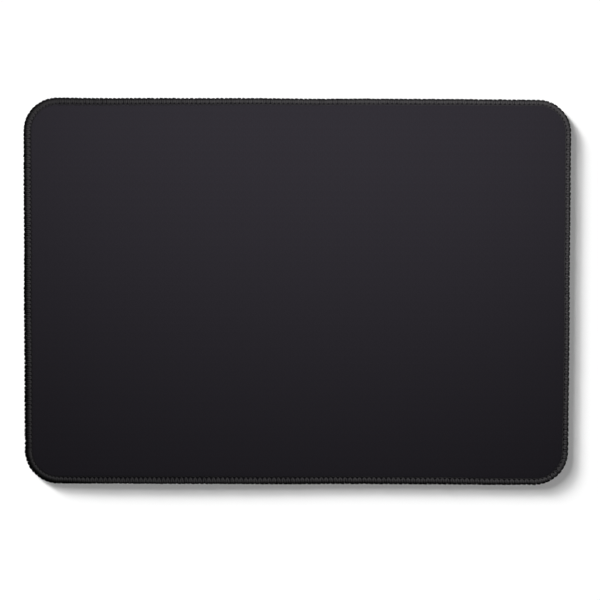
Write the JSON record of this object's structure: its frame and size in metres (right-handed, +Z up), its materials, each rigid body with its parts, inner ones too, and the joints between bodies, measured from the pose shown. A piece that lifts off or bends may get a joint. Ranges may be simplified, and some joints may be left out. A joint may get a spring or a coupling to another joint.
{
  "type": "mouse pad",
  "caption": "Flat rectangular cloth mouse pad with rounded corners, a rubber foam base and an overlock-stitched edge.",
  "frame": {"origin": "under the middle of the pad, on the surface that it lies on", "axes": "+X along the width, +Y along the depth away from the user, +Z up through the cloth"},
  "size_m": [0.35, 0.248, 0.0033],
  "materials": {
    "cloth": "black, very finely woven, matt",
    "film": "translucent hot-melt adhesive film",
    "rubber_foam": "black foamed rubber, embossed non-slip underside",
    "looper_thread": "black bulked filament thread, dull sheen",
    "needle_thread": "black twisted thread, dull sheen"
  },
  "bodies": {
    "root": {"surface_cloth": "cloth", "bonding_film": "film", "foam_base": "rubber_foam", "upper_looper_thread": "looper_thread", "lower_looper_thread": "looper_thread", "needle_thread": "needle_thread"}
  },
  "joints": []
}
